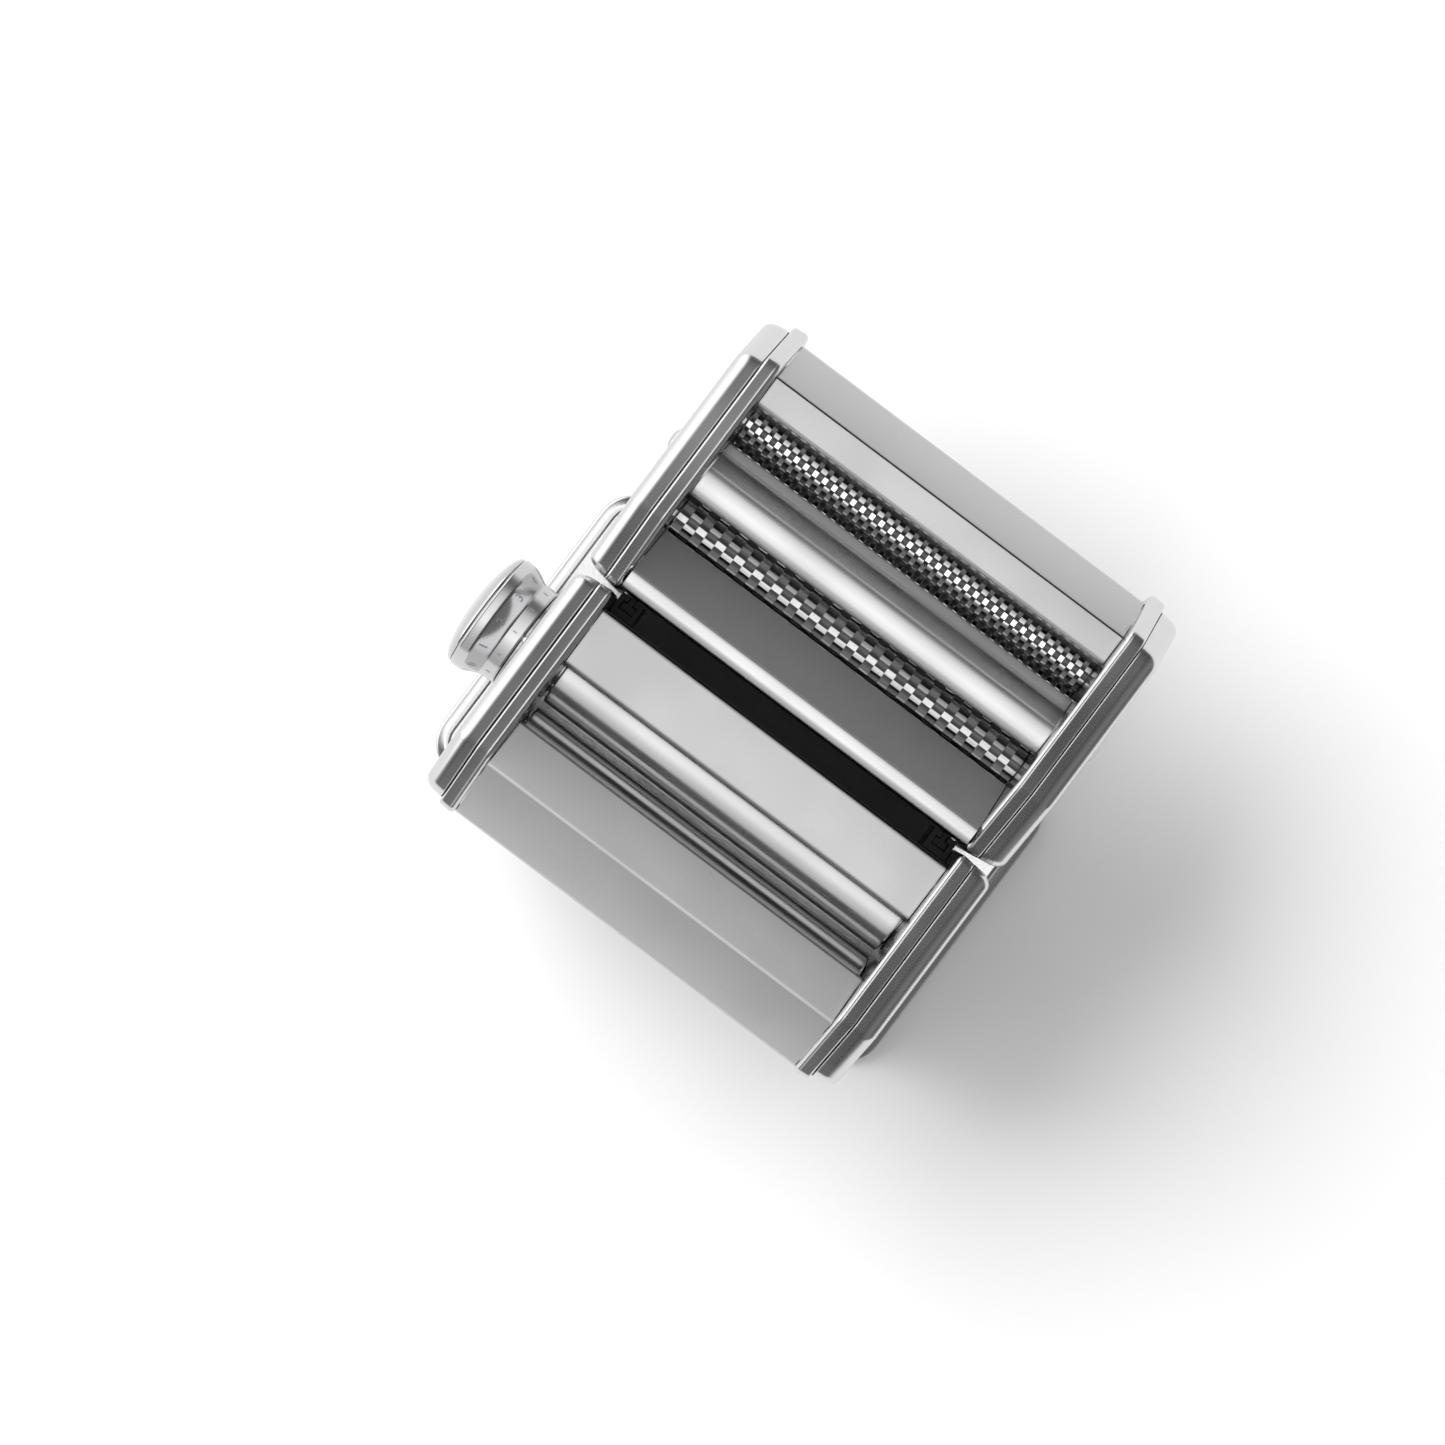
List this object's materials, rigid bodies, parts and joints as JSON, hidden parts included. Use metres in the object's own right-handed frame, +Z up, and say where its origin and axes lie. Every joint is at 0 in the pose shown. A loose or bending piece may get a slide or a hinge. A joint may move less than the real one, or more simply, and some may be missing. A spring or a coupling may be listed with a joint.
{
  "type": "hand-cranked pasta roller machine",
  "caption": "Hand-cranked pasta machine: smooth rollers between chromed side housings, pull-and-turn thickness knob, and a lift-off cutter head with wide and narrow cutters.",
  "frame": {"origin": "centre of the bounding box in plan, at the height of the table under the rubber feet", "axes": "+X along the rollers towards the crank sockets (the thickness knob is at -X), +Y to the rear, where the cutter head hangs, +Z up"},
  "size_m": [0.223, 0.2127, 0.155],
  "materials": {
    "polished_chrome": "polished",
    "satin_sheet": "satin",
    "roller_steel": "satin, ground",
    "plated_hardware": "nickel plated",
    "gear_steel": "machined",
    "bearing_metal": "sintered bronze",
    "foot_rubber": "matte"
  },
  "bodies": {
    "frame": {"base_plate": "polished_chrome", "foot_front_left": "foot_rubber", "foot_front_right": "foot_rubber", "foot_rear_left": "foot_rubber", "foot_rear_right": "foot_rubber", "main_flank_left": "satin_sheet", "main_flank_right": "satin_sheet", "main_cover_left": "polished_chrome", "main_cover_right": "polished_chrome", "main_screw_left": "plated_hardware", "main_screw_right": "plated_hardware", "front_bush_left": "bearing_metal", "front_bush_right": "bearing_metal", "front_panel": "satin_sheet", "rear_panel": "satin_sheet", "tie_rod_front": "plated_hardware", "tie_rod_rear": "plated_hardware", "head_rail_left": "plated_hardware", "head_rail_right": "plated_hardware", "index_plate": "satin_sheet", "rod_bush_right": "plated_hardware"},
    "front_roller": {"front_roller": "roller_steel", "front_roller_gear": "gear_steel"},
    "crank_socket": {"crank_socket_shaft": "plated_hardware", "crank_pinion": "gear_steel"},
    "carriage": {"bearing_block_left": "bearing_metal", "bearing_block_right": "bearing_metal"},
    "rear_roller": {"rear_roller": "roller_steel", "rear_roller_gear": "gear_steel"},
    "adjuster": {"adjuster_rod": "plated_hardware", "cam_left": "gear_steel", "cam_right": "gear_steel", "knob_spring": "plated_hardware"},
    "knob": {"thickness_knob": "polished_chrome", "knob_cap": "polished_chrome", "index_pin": "plated_hardware"},
    "cutter_head": {"head_flank_left": "satin_sheet", "head_flank_right": "satin_sheet", "head_cover_left": "polished_chrome", "head_cover_right": "polished_chrome", "head_screw_left": "plated_hardware", "head_screw_right": "plated_hardware", "head_tongue_left": "plated_hardware", "head_tongue_right": "plated_hardware", "head_front_plate": "satin_sheet", "head_divider": "satin_sheet", "head_rear_panel": "satin_sheet", "head_tie_rod": "plated_hardware", "wide_comb": "plated_hardware", "narrow_comb": "plated_hardware"},
    "wide_lower": {"wide_cutter_lower": "roller_steel", "wide_gear_lower": "gear_steel", "wide_crank_socket": "plated_hardware"},
    "wide_upper": {"wide_cutter_upper": "roller_steel", "wide_gear_upper": "gear_steel"},
    "narrow_lower": {"narrow_cutter_lower": "roller_steel", "narrow_gear_lower": "gear_steel", "narrow_crank_socket": "plated_hardware"},
    "narrow_upper": {"narrow_cutter_upper": "roller_steel", "narrow_gear_upper": "gear_steel"}
  },
  "joints": [
    {"name": "front_roller_spin", "type": "hinge", "parent": "frame", "child": "front_roller", "pos_m": [0.00495, -0.0719, 0.1095], "axis": [1, 0, 0], "continuous": true},
    {"name": "crank_socket_spin", "type": "hinge", "parent": "frame", "child": "crank_socket", "pos_m": [0.00495, -0.0759, 0.0832], "axis": [1, 0, 0], "continuous": true},
    {"name": "thickness_knob_turn", "type": "hinge", "parent": "frame", "child": "adjuster", "pos_m": [0.00495, -0.04085, 0.1095], "axis": [1, 0, 0], "range_deg": [-60, 210]},
    {"name": "rear_roller_carriage_slide", "type": "slide", "parent": "frame", "child": "carriage", "axis": [0, -1, 0], "range_m": [-0.00052, 0.00182]},
    {"name": "rear_roller_spin", "type": "hinge", "parent": "carriage", "child": "rear_roller", "pos_m": [0.00495, -0.04085, 0.1095], "axis": [1, 0, 0], "continuous": true},
    {"name": "knob_pull", "type": "slide", "parent": "adjuster", "child": "knob", "axis": [-1, 0, 0], "range_m": [0, 0.003], "stiffness_N_per_m": 700, "springref_m": -0.003},
    {"name": "cutter_head_lift", "type": "slide", "parent": "frame", "child": "cutter_head", "axis": [0, 0, 1], "range_m": [0, 0.11]},
    {"name": "wide_cutter_spin", "type": "hinge", "parent": "cutter_head", "child": "wide_lower", "pos_m": [0.00495, 0.0373, 0.1075], "axis": [1, 0, 0], "continuous": true},
    {"name": "wide_upper_spin", "type": "hinge", "parent": "cutter_head", "child": "wide_upper", "pos_m": [0.00495, 0.0278, 0.1205], "axis": [1, 0, 0], "continuous": true},
    {"name": "narrow_cutter_spin", "type": "hinge", "parent": "cutter_head", "child": "narrow_lower", "pos_m": [0.00495, 0.06, 0.1075], "axis": [1, 0, 0], "continuous": true},
    {"name": "narrow_upper_spin", "type": "hinge", "parent": "cutter_head", "child": "narrow_upper", "pos_m": [0.00495, 0.0695, 0.1205], "axis": [1, 0, 0], "continuous": true}
  ],
  "couplings": [
    {"joint": "rear_roller_spin", "follows": "front_roller_spin", "ratio": -1},
    {"joint": "crank_socket_spin", "follows": "front_roller_spin", "ratio": -1.3333},
    {"joint": "thickness_knob_turn", "follows": "rear_roller_carriage_slide", "rad_per_m": 2013.7},
    {"joint": "wide_upper_spin", "follows": "wide_cutter_spin", "ratio": -1},
    {"joint": "narrow_upper_spin", "follows": "narrow_cutter_spin", "ratio": -1}
  ]
}
